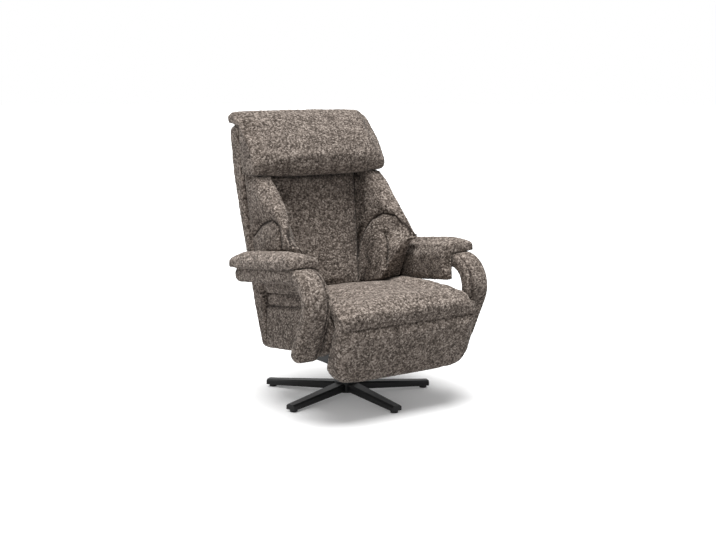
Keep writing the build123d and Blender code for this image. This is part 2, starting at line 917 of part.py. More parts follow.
def headrest_outline(inset):
    """Side outline of the headrest, drawn in by inset at its front and top."""
    return [
        (250, headrest_low + 1, 0),
        (198 + inset, headrest_low + 6, 18),
        (162 + inset, 920, 30),
        (214 + inset, 1012, 160),
        (300 + 0.7 * inset, 1106 - 0.7 * inset, 90),
        (362, 1133 - inset, 40),
        (396 - 0.6 * inset, 1124 - inset, 14),
        (390 - 0.6 * inset, 1077, 0),
        (303, 1077, 0),
        (301, 985, 0),
        (280, 892, 0),
    ]


with BuildPart() as headrest_cushion:
    for half, inset in ((headrest_half, headrest_welt), (headrest_half - 2 * headrest_welt, 0)):
        with BuildSketch(side(-half)):
            with BuildLine():
                rounded(headrest_outline(inset))
            make_face()
        extrude(amount=2 * half)
    with BuildSketch(from_front):
        with BuildLine():
            ThreePointArc(
                (-headrest_half - 1, headrest_low + headrest_bow),
                (0, headrest_low),
                (headrest_half + 1, headrest_low + headrest_bow),
            )
            Polyline(
                (headrest_half + 1, headrest_low + headrest_bow),
                (headrest_half + 1, headrest_low - 70),
                (-headrest_half - 1, headrest_low - 70),
                (-headrest_half - 1, headrest_low + headrest_bow),
            )
        make_face()
    extrude(amount=500, both=True, mode=Mode.SUBTRACT)
    slot_width = 2 * plate_thickness + 9
    for start in (bracket_inner - 4, -bracket_inner + 4 - slot_width):
        with BuildSketch(side(start)):
            with Locations((headrest_pivot[0] + 35, headrest_pivot[1] - 10)):
                Rectangle(110, 78)
        extrude(amount=slot_width, mode=Mode.SUBTRACT)
    for start in (bracket_inner - air, -bracket_inner - plate_thickness - air):
        with BuildSketch(side(start)):
            with BuildLine():
                Polyline(*headrest_bracket_outline, close=True)
            make_face()
            offset(amount=air, kind=Kind.INTERSECTION)
        extrude(amount=plate_thickness + 2 * air, mode=Mode.SUBTRACT)

with BuildPart() as headrest_bracket_left:
    with BuildSketch(side(bracket_inner)):
        with BuildLine():
            Polyline(*headrest_bracket_outline, close=True)
        make_face()
        with Locations(headrest_pivot):
            Circle(13)
            Circle(pin_radius + running_fit, mode=Mode.SUBTRACT)
    extrude(amount=plate_thickness)

with BuildPart() as headrest_bracket_right:
    mirror(headrest_bracket_left.part, about=Plane.YZ)

pin_length = plate_inner + plate_thickness - bracket_inner + 2
with BuildPart() as headrest_pins:
    for start in (bracket_inner - 1, -bracket_inner + 1 - pin_length):
        with BuildSketch(side(start)):
            with Locations(headrest_pivot):
                Circle(pin_radius)
        extrude(amount=pin_length)

# Legrest: cushion with a rounded upper edge round the hinge, board and hinge arms behind
legrest_half = back_half
legrest_board_half = legrest_half - 47
knuckle = 36
legrest_length = 172
board_start = 52
board_end = 150


def on_legrest(u, v):
    """Point of the folded legrest: u down along it, v towards its front."""
    return turned(legrest_pivot, legrest_tilt, u, v)


legrest_outline = [
    (*on_legrest(-knuckle, -knuckle), knuckle - 1),
    (*on_legrest(-knuckle, knuckle), knuckle - 1),
    (*on_legrest(60, knuckle + 9), 250),
    (*on_legrest(legrest_length, knuckle - 3), 30),
    (*on_legrest(legrest_length, 3 - knuckle), 28),
]
legrest_corner = 80     # radius of the lower corners, seen from the front
legrest_edge = 20       # radius of the drawn-in sides
legrest_across = Plane(
    origin=(0, axis_y + legrest_pivot[0], legrest_pivot[1]),
    x_dir=(1, 0, 0),
    z_dir=(0, math.sin(math.radians(legrest_tilt)), -math.cos(math.radians(legrest_tilt))),
)
with BuildPart() as legrest_cushion:
    with BuildSketch(side(-legrest_half)):
        with BuildLine():
            rounded(legrest_outline)
        make_face()
    extrude(amount=2 * legrest_half)
    with BuildSketch(legrest_across):
        with Locations((0, 5)):
            RectangleRounded(2 * legrest_half, 2 * knuckle + 12, legrest_edge)
    extrude(amount=2 * legrest_length, both=True, mode=Mode.INTERSECT)
    with BuildSketch(from_front):
        with BuildLine():
            rounded(
                [
                    (-legrest_half, legrest_pivot[1] + 60, 0),
                    (legrest_half, legrest_pivot[1] + 60, 0),
                    (legrest_half, on_legrest(legrest_length, 0)[1] - 8, legrest_corner),
                    (-legrest_half, on_legrest(legrest_length, 0)[1] - 8, legrest_corner),
                ]
            )
        make_face()
    extrude(amount=600, mode=Mode.INTERSECT)
    with BuildSketch(side(-legrest_board_half - 1)):
        with BuildLine():
            Polyline(
                on_legrest(board_start - air, -60),
                on_legrest(board_start - air, -26),
                on_legrest(board_end + air, -26),
                on_legrest(board_end + air, -60),
                close=True,
            )
        make_face()
    extrude(amount=2 * legrest_board_half + 2, mode=Mode.SUBTRACT)
    slot_inner = rail_inner - 9
    slot_size = 32
    for start in (slot_inner, -slot_inner - slot_size):
        with BuildSketch(side(start)):
            with BuildLine():
                Polyline(
                    on_legrest(-60, -70),
                    on_legrest(-60, 23),
                    on_legrest(18, 23),
                    on_legrest(board_start, -8),
                    on_legrest(board_start, -70),
                    close=True,
                )
            make_face()
        extrude(amount=slot_size, mode=Mode.SUBTRACT)
    for start in (rail_outer + 1, -rail_outer - plate_thickness - 2):
        with BuildSketch(side(start)):
            with BuildLine():
                Polyline(
                    on_legrest(0, -27),
                    on_legrest(0, -7),
                    on_legrest(122, -7),
                    on_legrest(122, -27),
                    close=True,
                )
            make_face()
        extrude(amount=plate_thickness + 1, mode=Mode.SUBTRACT)

with BuildPart() as legrest_board:
    with BuildSketch(side(-legrest_board_half)):
        with BuildLine():
            Polyline(
                on_legrest(board_start, -35),
                on_legrest(board_start, -26),
                on_legrest(board_end, -26),
                on_legrest(board_end, -35),
                close=True,
            )
        make_face()
    extrude(amount=2 * legrest_board_half)

with BuildPart() as legrest_arm_left:
    with BuildSketch(side(rail_outer + 1.5)):
        with BuildLine():
            Polyline(
                on_legrest(-4, 13),
                on_legrest(48, -8),
                on_legrest(120, -8),
                on_legrest(120, -26),
                on_legrest(board_start, -26),
                on_legrest(0, -13),
                close=True,
            )
        make_face()
        with Locations(legrest_pivot):
            Circle(14)
            Circle(pin_radius + running_fit, mode=Mode.SUBTRACT)
    extrude(amount=plate_thickness)

with BuildPart() as legrest_arm_right:
    mirror(legrest_arm_left.part, about=Plane.YZ)

with BuildPart() as legrest_pins:
    for side_sign in (1, -1):
        start = rail_inner - 2
        end = rail_outer + plate_thickness + 2.5
        with BuildSketch(side(side_sign * start)):
            with Locations(legrest_pivot):
                Circle(pin_radius)
        extrude(amount=side_sign * (end - start))

pieces = {
    "star_base": star_base,
    "floor_glides": floor_glides,
    "base_column": base_column,
    "column_bushes": column_bushes,
    "swivel_spindle": swivel_spindle,
    "spindle_retainer": spindle_retainer,
    "carrier_plate": carrier_plate,
    "carrier_bolts": carrier_bolts,
    "cross_tube_front": cross_tube_front,
    "cross_tube_rear": cross_tube_rear,
    "seat_rail_left": seat_rail_left,
    "seat_rail_right": seat_rail_right,
    "seat_board_left": seat_board_left,
    "seat_board_right": seat_board_right,
    "seat_board_front": seat_board_front,
    "seat_board_rear": seat_board_rear,
    "box_spacers": box_spacers,
    "seat_webbing": seat_webbing,
    "seat_cushion": seat_cushion,
    "seat_side_panel_left": seat_side_panel_left,
    "seat_side_panel_right": seat_side_panel_right,
    "arm_loop_left": arm_loop_left,
    "arm_loop_right": arm_loop_right,
    "arm_bolts": arm_bolts,
    "arm_pad_left": arm_pad_left,
    "arm_pad_right": arm_pad_right,
    "gas_spring_cylinder": gas_spring_cylinder,
    "gas_spring_bracket": gas_spring_bracket,
    "gas_spring_rod": gas_spring_rod,
    "back_plate_left": back_plate_left,
    "back_plate_right": back_plate_right,
    "recline_shaft": recline_shaft,
    "recline_crank": recline_crank,
    "crank_pin": crank_pin,
    "back_shell": back_shell,
    "back_centre_cushion": back_centre_cushion,
    "back_wing_left": back_wing_left,
    "back_wing_right": back_wing_right,
    "headrest_cushion": headrest_cushion,
    "headrest_bracket_left": headrest_bracket_left,
    "headrest_bracket_right": headrest_bracket_right,
    "headrest_pins": headrest_pins,
    "legrest_cushion": legrest_cushion,
    "legrest_board": legrest_board,
    "legrest_arm_left": legrest_arm_left,
    "legrest_arm_right": legrest_arm_right,
    "legrest_pins": legrest_pins,
}
for label, piece in pieces.items():
    piece.part.label = label
    export_step(piece.part, f"parts/{label}.step")
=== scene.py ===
"""Looks of a swivel relax armchair: padded upholstery, coated metal and a plain white studio."""

import json
import logging
import math
from dataclasses import dataclass, field, replace
from enum import Enum
from typing import Any, Iterable, Optional, Union

import bpy
import numpy as np
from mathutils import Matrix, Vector

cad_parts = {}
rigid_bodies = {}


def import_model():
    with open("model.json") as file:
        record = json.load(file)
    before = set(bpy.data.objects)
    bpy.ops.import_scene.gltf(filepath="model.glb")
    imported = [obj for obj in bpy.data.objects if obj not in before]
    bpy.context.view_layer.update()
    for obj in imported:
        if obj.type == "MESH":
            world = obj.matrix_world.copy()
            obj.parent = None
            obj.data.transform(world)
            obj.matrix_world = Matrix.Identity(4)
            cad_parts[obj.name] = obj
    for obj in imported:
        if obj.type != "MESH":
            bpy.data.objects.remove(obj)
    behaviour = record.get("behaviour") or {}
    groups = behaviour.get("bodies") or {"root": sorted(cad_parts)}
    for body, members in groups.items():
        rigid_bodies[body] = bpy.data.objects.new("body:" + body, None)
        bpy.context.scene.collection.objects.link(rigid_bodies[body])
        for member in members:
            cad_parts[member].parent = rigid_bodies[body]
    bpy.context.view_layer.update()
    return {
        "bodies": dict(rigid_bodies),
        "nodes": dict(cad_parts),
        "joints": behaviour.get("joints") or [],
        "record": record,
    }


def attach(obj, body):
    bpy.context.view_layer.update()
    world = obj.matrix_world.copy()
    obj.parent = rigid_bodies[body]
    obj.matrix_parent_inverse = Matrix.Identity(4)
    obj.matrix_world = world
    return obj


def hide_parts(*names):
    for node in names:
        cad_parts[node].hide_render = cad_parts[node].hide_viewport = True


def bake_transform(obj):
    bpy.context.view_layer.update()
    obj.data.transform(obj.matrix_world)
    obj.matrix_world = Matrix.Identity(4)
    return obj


log = logging.getLogger("armchair")

Number = Union[int, float]
Colour = tuple[float, float, float]
Point = tuple[float, float]
Place = tuple[float, float, float]
# Attribute that carries painted shade along sewn lines and creases; it darkens the cover's colour
PAINTED_CREASE_SHADE = "crease"

# Directions that the side of a pad can face
UP: Place = (0, 0, 1)
REAR: Place = (0, 1, 0)
FRONT_RISING: Place = (0, -1, 0.3)
FRONT_STEEP: Place = (0, -1, 0.2)
TO_THE_MIDDLE: Place = (1, -0.3, 0)
TO_THE_RIGHT: Place = (-1, 0, 0)

# How pads are rounded and filled
MERGE_DISTANCE = 0.0001
SMOOTHING = 0.5
PRESSURE = 4.0
CLOTH_STEPS = 4
FILLING_FRAMES = 20
HELD_FROM = 0.3
SETTLING = 2

# Size of the lumps in the nap, and the share of its height that each takes
NAP_WAVES = ((0.007, 1.0), (0.020, 0.6))


class Drawing(Enum):
    """The two coordinates that a sewn line is drawn in."""

    TOP = (0, 1)
    FRONT = (0, 2)
    SIDE = (1, 2)


class Slot(Enum):
    """The record's material slots."""

    UPHOLSTERY = "upholstery"
    BLACK_STEEL = "black_steel"
    BRIGHT_STEEL = "bright_steel"
    PLYWOOD = "plywood"
    WEBBING = "webbing"
    GLIDE = "glide_plastic"
    BUSH = "bush_plastic"


class Wire:
    """A socket of a node tree that can be used in sums."""

    def __init__(self, sheet: "NodeSheet", socket: bpy.types.NodeSocket) -> None:
        """Keeps the tree and the socket."""
        self.sheet = sheet
        self.socket = socket

    def __add__(self, other: Union["Wire", Number]) -> "Wire":
        """Sum of the two."""
        return self.sheet.maths("ADD", self, other)

    def __sub__(self, other: Union["Wire", Number]) -> "Wire":
        """Difference of the two."""
        return self.sheet.maths("SUBTRACT", self, other)

    def __rsub__(self, other: Number) -> "Wire":
        """A number less this value."""
        return self.sheet.maths("SUBTRACT", other, self)

    def __mul__(self, other: Union["Wire", Number]) -> "Wire":
        """Product of the two."""
        return self.sheet.maths("MULTIPLY", self, other)

    __radd__ = __add__
    __rmul__ = __mul__


class NodeSheet:
    """The node tree of a material or of the world."""

    def __init__(self, tree: bpy.types.NodeTree) -> None:
        """Clears the tree for a new graph."""
        self.tree = tree
        tree.nodes.clear()

    def node(
        self,
        kind: str,
        settings: Optional[dict[str, Any]] = None,
        sockets: Optional[dict[str, Any]] = None,
        output: Union[str, int] = 0,
    ) -> Wire:
        """Adds a node.

        Args:
            kind: The node's type.
            settings: Its settings; "stops" are a ramp's positions and colours.
            sockets: Values or wires of its inputs, by name or number.
            output: Name or number of the output to return.

        Returns:
            The output as a wire, or the node's only input where it has no output.
        """
        made = self.tree.nodes.new(kind)
        for key, value in (settings or {}).items():
            if key == "stops":
                self.ramp(made.color_ramp, value)
            else:
                setattr(made, key, value)
        for key, value in (sockets or {}).items():
            if isinstance(value, Wire):
                self.tree.links.new(value.socket, made.inputs[key])
            else:
                made.inputs[key].default_value = value
        ends = made.outputs if len(made.outputs) else made.inputs
        return Wire(self, ends[output])

    def ramp(self, ramp: bpy.types.ColorRamp, stops: Iterable[tuple[float, Colour]]) -> None:
        """Sets a ramp's stops.

        Args:
            ramp: The colour ramp.
            stops: Position and colour of each stop, in order.
        """
        for number, (place, colour) in enumerate(stops):
            if number >= len(ramp.elements):
                ramp.elements.new(place)
            ramp.elements[number].position = place
            ramp.elements[number].color = (*colour, 1)

    def maths(self, operation: str, first: Any, second: Any) -> Wire:
        """A Math node on two values."""
        settings = {"operation": operation}
        return self.node("ShaderNodeMath", settings, {0: first, 1: second})

    def coordinates(self) -> Wire:
        """The piece's own coordinates, in metres."""
        return self.node("ShaderNodeTexCoord", output="Object")

    def noise(self, place: Wire, scale: float, detail: float = 2.0, output: str = "Fac") -> Wire:
        """Soft noise of a number of waves a metre."""
        sockets = {"Vector": place, "Scale": scale, "Detail": detail}
        return self.node("ShaderNodeTexNoise", None, sockets, output)

    def tint(self, value: Wire, stops: Iterable[tuple[float, Colour]]) -> Wire:
        """Colours of a ramp by a value."""
        return self.node("ShaderNodeValToRGB", {"stops": stops}, {0: value})

    def bump(self, height: Wire, strength: float, distance: float) -> Wire:
        """A relief for the Normal of a surface."""
        sockets = {"Height": height, "Strength": strength, "Distance": distance}
        return self.node("ShaderNodeBump", None, sockets)

    def surface(self, sockets: dict[str, Any]) -> Wire:
        """A Principled shader with the given sockets."""
        return self.node("ShaderNodeBsdfPrincipled", None, sockets)


@dataclass(frozen=True)
class Finish:
    """A material that is the same stuff all through."""

    name: str
    roughness: float = 0.6

    def make(self) -> bpy.types.Material:
        """Makes the material.

        Returns:
            The material with its node tree.
        """
        material = bpy.data.materials.new(self.name)
        material.use_nodes = True
        sheet = NodeSheet(material.node_tree)
        shader = self.shade(sheet)
        sheet.node("ShaderNodeOutputMaterial", None, {"Surface": shader})
        return material

    def shade(self, sheet: NodeSheet) -> Wire:
        """The surface shader; each finish has its own."""
        raise NotImplementedError


@dataclass(frozen=True)
class LoopedPile(Finish):
    """Mottled looped fabric of dark, taupe and pale yarns."""

    roughness: float = 0.95
    loops: float = 165.0
    clumps: float = 125.0
    clouds: float = 24.0
    waver: float = 0.006
    relief: float = 0.004
    yarn_share: float = 0.34
    clump_share: float = 0.60
    cloud_share: float = 0.24
    # Strength of the painted shade between the loops and along the seams
    painted_hollow_shade: float = 0.18
    painted_seam_shade: float = 0.42
    stops: tuple[tuple[float, Colour], ...] = (
        (0.20, (0.024, 0.018, 0.014)),
        (0.42, (0.097, 0.078, 0.065)),
        (0.58, (0.226, 0.188, 0.161)),
        (0.82, (0.505, 0.436, 0.386)),
    )

    def shade(self, sheet: NodeSheet) -> Wire:
        """Yarn colours by loop, with painted shade between the loops and along the seams, and a loop relief.
        """
        place = sheet.coordinates()
        waver = sheet.noise(place, self.loops, 1.0, "Color")
        shift = sheet.node("ShaderNodeVectorMath", {"operation": "SCALE"}, {0: waver, "Scale": self.waver})
        bent = sheet.node("ShaderNodeVectorMath", {"operation": "ADD"}, {0: place, 1: shift})
        cell = {"Vector": bent, "Scale": self.loops}
        yarn = sheet.node("ShaderNodeTexVoronoi", None, cell, "Color")
        # Distance from each loop's middle: used for the relief, and for painted shade between the loops
        hollow = sheet.node("ShaderNodeTexVoronoi", None, cell, "Distance")
        single = sheet.node("ShaderNodeSeparateColor", None, {0: yarn})
        clumps = sheet.noise(place, self.clumps, 3.0)
        cloudy = sheet.noise(place, self.clouds, 3.0)
        # Painted shade: darker along sewn lines and creases, read from the attribute
        seam = sheet.node("ShaderNodeAttribute", {"attribute_name": PAINTED_CREASE_SHADE}, None, "Fac")
        light = single * self.yarn_share + clumps * self.clump_share + cloudy * self.cloud_share
        # Painted shade: darker between the loops and along the seams
        tone = light - hollow * self.painted_hollow_shade - seam * self.painted_seam_shade
        height = clumps * 0.6 + (1 - hollow) * 0.8
        return sheet.surface(
            {
                "Base Color": sheet.tint(tone, self.stops),
                "Roughness": self.roughness,
                "Specular IOR Level": 0.12,
                "Sheen Weight": 0.08,
                "Sheen Roughness": 0.5,
                "Normal": sheet.bump(height, 0.75, self.relief),
            }
        )


@dataclass(frozen=True)
class CoatedSteel(Finish):
    """Powder coated or plated metal with a fine grain."""

    colour: Colour = (0.007, 0.007, 0.007)
    worn: Colour = (0.012, 0.012, 0.013)
    metallic: float = 0.0
    grain: float = 900.0
    shine: float = 0.25

    def shade(self, sheet: NodeSheet) -> Wire:
        """A fine orange-peel relief and slightly uneven gloss."""
        place = sheet.coordinates()
        grain = sheet.noise(place, self.grain, 2.0)
        cloudy = sheet.noise(place, 9.0, 3.0)
        gloss = cloudy * 0.12 + grain * 0.08 + (self.roughness - 0.10)
        return sheet.surface(
            {
                "Base Color": sheet.tint(cloudy, ((0.3, self.colour), (0.7, self.worn))),
                "Roughness": gloss,
                "Metallic": self.metallic,
                "Specular IOR Level": self.shine,
                "Normal": sheet.bump(grain, 0.12, 0.0004),
            }
        )


@dataclass(frozen=True)
class GrainedWood(Finish):
    """Raw birch plywood with layers and a long grain."""

    pale: Colour = (0.66, 0.50, 0.33)
    dark: Colour = (0.42, 0.28, 0.16)

    def shade(self, sheet: NodeSheet) -> Wire:
        """Long grain lines over a cloudy ground."""
        place = sheet.coordinates()
        long_way = sheet.node("ShaderNodeMapping", None, {"Vector": place, "Scale": (40.0, 6.0, 60.0)})
        grain = sheet.noise(long_way, 5.0, 6.0)
        colour = sheet.tint(grain, ((0.35, self.dark), (0.62, self.pale)))
        normal = sheet.bump(grain, 0.15, 0.0006)
        return sheet.surface({"Base Color": colour, "Roughness": self.roughness, "Normal": normal})


@dataclass(frozen=True)
class WovenBand(Finish):
    """Black elastic webbing with a ribbed weave."""

    colour: Colour = (0.025, 0.025, 0.027)
    thread: Colour = (0.11, 0.11, 0.11)

    def shade(self, sheet: NodeSheet) -> Wire:
        """Crossing ribs two millimetres apart."""
        place = sheet.coordinates()
        ribs = sheet.node("ShaderNodeTexWave", {"bands_direction": "Y"}, {"Vector": place, "Scale": 160.0}, 1)
        cross = sheet.node("ShaderNodeTexWave", {"bands_direction": "X"}, {"Vector": place, "Scale": 80.0}, 1)
        weave = ribs * 0.6 + cross * 0.4
        colour = sheet.tint(weave, ((0.2, self.colour), (0.8, self.thread)))
        normal = sheet.bump(weave, 0.5, 0.001)
        return sheet.surface({"Base Color": colour, "Roughness": self.roughness, "Normal": normal})


@dataclass(frozen=True)
class StudioFloor(Finish):
    """White floor that shows the shadow and otherwise fades into the backdrop."""

    roughness: float = 1.0
    reflected: float = 0.86
    bounced: float = 0.42
    lift: float = 0.16

    def shade(self, sheet: NodeSheet) -> Wire:
        """Diffuse white, lifted where the view sees it, and grey in the light that it throws back."""
        white = sheet.node("ShaderNodeBsdfDiffuse", None, {"Color": (self.reflected,) * 3 + (1,)})
        glow = sheet.node("ShaderNodeEmission", None, {"Strength": self.lift})
        both = sheet.node("ShaderNodeAddShader", None, {0: white, 1: glow})
        grey = sheet.node("ShaderNodeBsdfDiffuse", None, {"Color": (self.bounced,) * 3 + (1,)})
        seen = straight_view(sheet)
        return sheet.node("ShaderNodeMixShader", None, {0: seen, 1: grey, 2: both})


def straight_view(sheet: NodeSheet) -> Wire:
    """Is one for rays from the camera, from gloss and through glass, and zero for the rest.

    Args:
        sheet: The node tree to add it to.

    Returns:
        The mask.
    """
    camera = sheet.node("ShaderNodeLightPath", output="Is Camera Ray")
    glossy = sheet.node("ShaderNodeLightPath", output="Is Glossy Ray")
    through = sheet.node("ShaderNodeLightPath", output="Is Transmission Ray")
    either = sheet.maths("MAXIMUM", camera, glossy)
    return sheet.maths("MAXIMUM", either, through)


@dataclass(frozen=True)
class Seam:
    """A line pressed into the side of a pad that faces a direction; a negative depth swells it."""

    points: tuple[Point, ...]
    drawing: Drawing
    facing: Place
    width: float = 0.006
    depth: float = 0.006
    sewn: bool = True
    # Strength of the painted shade along the line, and the width of its band
    shade: float = 1.0
    thread: float = 0.0035
    grazing: float = 0.1
    fully_seen: float = 0.5

    def nearness(self, places: np.ndarray, normals: np.ndarray) -> np.ndarray:
        """How strongly each vertex takes part.

        Args:
            places: Vertex positions.
            normals: Vertex normals.

        Returns:
            A bell of the distance from the line, zero on the sides that face away.
        """
        flat = places[:, list(self.drawing.value)]
        line = np.array(self.points)
        nearest = np.full(len(flat), np.inf)
        for start, end in zip(line[:-1], line[1:]):
            run = end - start
            share = np.clip((flat - start) @ run / (run @ run), 0, 1)
            nearest = np.minimum(nearest, np.linalg.norm(flat - start - share[:, None] * run, axis=1))
        bell = np.exp(-((nearest / self.width) ** 2))
        direction = np.array(Vector(self.facing).normalized())
        seen = np.clip((normals @ direction - self.grazing) / (self.fully_seen - self.grazing), 0, 1)
        return bell * seen

    def press(self, places: np.ndarray, normals: np.ndarray) -> np.ndarray:
        """Moves the vertices along their normals.

        Args:
            places: Vertex positions.
            normals: Vertex normals.

        Returns:
            The new positions.
        """
        return places - normals * (self.nearness(places, normals) * self.depth)[:, None]


@dataclass(frozen=True)
class Filler:
    """A block that closes a notch of a solid before it is padded."""

    section: tuple[Point, Point, Point, Point]
    span: Point

    def join(self, obj: bpy.types.Object) -> None:
        """Joins the block to a pad's mesh.

        Args:
            obj: The pad, not yet remeshed.
        """
        bpy.ops.object.select_all(action="DESELECT")
        bpy.ops.mesh.primitive_cube_add(size=1)
        block = bpy.context.object
        front_low, front_high, rear_high, rear_low = self.section
        corners = {
            (True, False): front_low,
            (True, True): front_high,
            (False, True): rear_high,
            (False, False): rear_low,
        }
        rows = []
        for x, y, z in Bench.places(block):
            depth, height = corners[(bool(y < 0), bool(z > 0))]
            rows.append((self.span[int(x > 0)], depth, height))
        Bench.move(block, np.array(rows))
        obj.select_set(True)
        bpy.context.view_layer.objects.active = obj
        bpy.ops.object.join()


class Bench:
    """Small modelling steps on one object."""

    @staticmethod
    def choose(obj: bpy.types.Object) -> None:
        """Makes the object the only selected and active one."""
        bpy.ops.object.select_all(action="DESELECT")
        obj.select_set(True)
        bpy.context.view_layer.objects.active = obj

    @staticmethod
    def modify(obj: bpy.types.Object, kind: str, **settings: Any) -> None:
        """Adds a modifier with its settings and applies it."""
        Bench.choose(obj)
        modifier = obj.modifiers.new("step", kind)
        for key, value in settings.items():
            setattr(modifier, key, value)
        bpy.ops.object.modifier_apply(modifier=modifier.name)

    @staticmethod
    def places(obj: bpy.types.Object) -> np.ndarray:
        """Vertex positions as rows."""
        rows = np.zeros(len(obj.data.vertices) * 3)
        obj.data.vertices.foreach_get("co", rows)
        return rows.reshape(-1, 3)

    @staticmethod
    def normals(obj: bpy.types.Object) -> np.ndarray:
        """Vertex normals as rows."""
        rows = np.zeros(len(obj.data.vertices) * 3)
        obj.data.vertex_normals.foreach_get("vector", rows)
        return rows.reshape(-1, 3)

    @staticmethod
    def move(obj: bpy.types.Object, places: np.ndarray) -> None:
        """Puts the vertices at new positions."""
        obj.data.vertices.foreach_set("co", places.ravel())
        obj.data.update()

    @staticmethod
    def copy_of(node: str, name: str) -> bpy.types.Object:
        """A merged copy of a solid's mesh.

        Args:
            node: The solid's name.
            name: The new object's name.

        Returns:
            The new object, at the origin.
        """
        mesh = bpy.data.objects[node].data.copy()
        mesh.name = name
        mesh.materials.clear()
        obj = bpy.data.objects.new(name, mesh)
        bpy.context.scene.collection.objects.link(obj)
        Bench.choose(obj)
        bpy.ops.object.mode_set(mode="EDIT")
        bpy.ops.mesh.select_all(action="SELECT")
        bpy.ops.mesh.remove_doubles(threshold=MERGE_DISTANCE)
        bpy.ops.object.mode_set(mode="OBJECT")
        return obj

    @staticmethod
    def other_half(obj: bpy.types.Object, name: str) -> bpy.types.Object:
        """A mirror copy on the other half of the chair, with its own mesh.

        Args:
            obj: The piece to copy.
            name: The copy's name.

        Returns:
            The copy, its faces outwards.
        """
        copy = bpy.data.objects.new(name, obj.data.copy())
        bpy.context.scene.collection.objects.link(copy)
        Bench.move(copy, Bench.places(copy) * np.array((-1, 1, 1)))
        copy.data.flip_normals()
        return copy


@dataclass
class Pad:
    """A padded piece made from its solid: rounded, filled by pressure, sewn and covered."""

    name: str
    node: str
    body: str
    voxel: float = 0.006
    rounding: int = 8
    shrink: float = 0.006
    cap: float = 0.014
    proud: float = 0.003
    fill: float = 0.75
    fillers: tuple[Filler, ...] = ()
    valleys: tuple[Seam, ...] = ()
    seams: tuple[Seam, ...] = ()
    nap: float = 0.0028
    simulate: bool = True
    follows: str = ""
    turn: tuple[Place, ...] = ()

    def build(self) -> bpy.types.Object:
        """Makes the finished mesh.

        Returns:
            The piece in place of its solid: riding on its body, or with its place baked in where it follows
                another body.
        """
        obj = Bench.copy_of(self.node, self.name)
        for filler in self.fillers:
            filler.join(obj)
        low = Bench.places(obj).min(axis=0)
        high = Bench.places(obj).max(axis=0)
        Bench.modify(obj, "REMESH", mode="VOXEL", voxel_size=self.voxel)
        for valley in self.valleys:
            Bench.move(obj, valley.press(Bench.places(obj), Bench.normals(obj)))
        Bench.modify(obj, "SMOOTH", factor=SMOOTHING, iterations=self.rounding)
        if self.simulate:
            Bench.modify(obj, "DISPLACE", strength=-self.shrink, mid_level=0.0)
            self.swell(obj)
        self.regain(obj, low, high)
        for seam in self.seams:
            Bench.move(obj, seam.press(Bench.places(obj), Bench.normals(obj)))
        self.form(obj)
        Bench.modify(obj, "SUBSURF", levels=1, render_levels=1)
        self.paint_crease_shade(obj)
        self.raise_nap(obj)
        return self.mount(obj, self.node)

    def form(self, obj: bpy.types.Object) -> None:
        """A last change of shape, for pads that need one."""

    def regain(self, obj: bpy.types.Object, low: np.ndarray, high: np.ndarray) -> None:
        """Stretches the rounded cover back to a box and a little proud of it.

        Args:
            obj: The rounded cover.
            low: The box's lowest corner.
            high: The box's highest corner.
        """
        places = Bench.places(obj)
        share = (places - places.min(axis=0)) / np.ptp(places, axis=0)
        Bench.move(obj, low - self.proud + share * (high - low + 2 * self.proud))

    def paint_crease_shade(self, obj: bpy.types.Object) -> None:
        """Writes painted shade along each sewn line into an attribute, which darkens the cover's colour
        there.
        """
        places = Bench.places(obj)
        normals = Bench.normals(obj)
        painted_shade = np.zeros(len(places))
        for seam in (*self.valleys, *self.seams):
            if seam.shade > 0:
                thread = replace(seam, width=seam.thread)
                painted_shade = np.maximum(painted_shade, thread.nearness(places, normals) * seam.shade)
        attribute = obj.data.attributes.new(PAINTED_CREASE_SHADE, "FLOAT", "POINT")
        attribute.data.foreach_set("value", painted_shade)

    def swell(self, obj: bpy.types.Object) -> None:
        """Fills the cover by air pressure, its sewn lines held; points move outwards only, up to the cap."""
        before = Bench.places(obj)
        directions = Bench.normals(obj)
        held = np.zeros(len(before))
        for seam in (*self.valleys, *self.seams):
            if seam.sewn:
                held = np.maximum(held, seam.nearness(before, directions))
        group = obj.vertex_groups.new(name="sewn")
        for level in np.unique(np.round(held[held > HELD_FROM], 1)):
            members = np.flatnonzero(np.round(held, 1) == level)
            group.add([int(m) for m in members], float(level), "REPLACE")
        Bench.choose(obj)
        modifier = obj.modifiers.new("filling", "CLOTH")
        settings = modifier.settings
        settings.quality = CLOTH_STEPS
        settings.use_pressure = True
        settings.uniform_pressure_force = PRESSURE
        settings.effector_weights.gravity = 0
        settings.vertex_group_mass = group.name
        modifier.collision_settings.use_collision = False
        scene = bpy.context.scene
        for frame in range(1, FILLING_FRAMES + 1):
            scene.frame_set(frame)
        bpy.ops.object.modifier_apply(modifier=modifier.name)
        scene.frame_set(1)
        obj.vertex_groups.clear()
        moved = Bench.places(obj) - before
        outward = np.clip((moved * directions).sum(axis=1), 0, self.cap)
        Bench.move(obj, before + directions * outward[:, None])
        Bench.modify(obj, "SMOOTH", factor=SMOOTHING, iterations=SETTLING)

    def raise_nap(self, obj: bpy.types.Object) -> None:
        """Gives the cover the uneven surface of its loops."""
        for size, share in NAP_WAVES:
            texture = bpy.data.textures.new(f"{self.name}_nap", "CLOUDS")
            texture.noise_scale = size
            texture.noise_depth = 1
            Bench.modify(obj, "DISPLACE", strength=self.nap * share, mid_level=0.5, texture=texture)

    def mount(self, obj: bpy.types.Object, node: str) -> bpy.types.Object:
        """Args:
            obj: The finished mesh.
            node: The solid it stands for.

        Returns:
            The same object.
        """
        obj.data.shade_smooth()
        if self.follows:
            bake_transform(obj)
        else:
            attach(obj, self.body)
        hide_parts(node)
        log.info("%s: %d faces on %s", obj.name, len(obj.data.polygons), self.body)
        return obj

    def pair(self) -> list[bpy.types.Object]:
        """Makes this right-hand piece and its mirror copy on the left.

        Returns:
            Both pieces.
        """
        right = self.build()
        left = Bench.other_half(right, self.name.replace("right", "left"))
        return [right, self.mount(left, self.node.replace("right", "left"))]


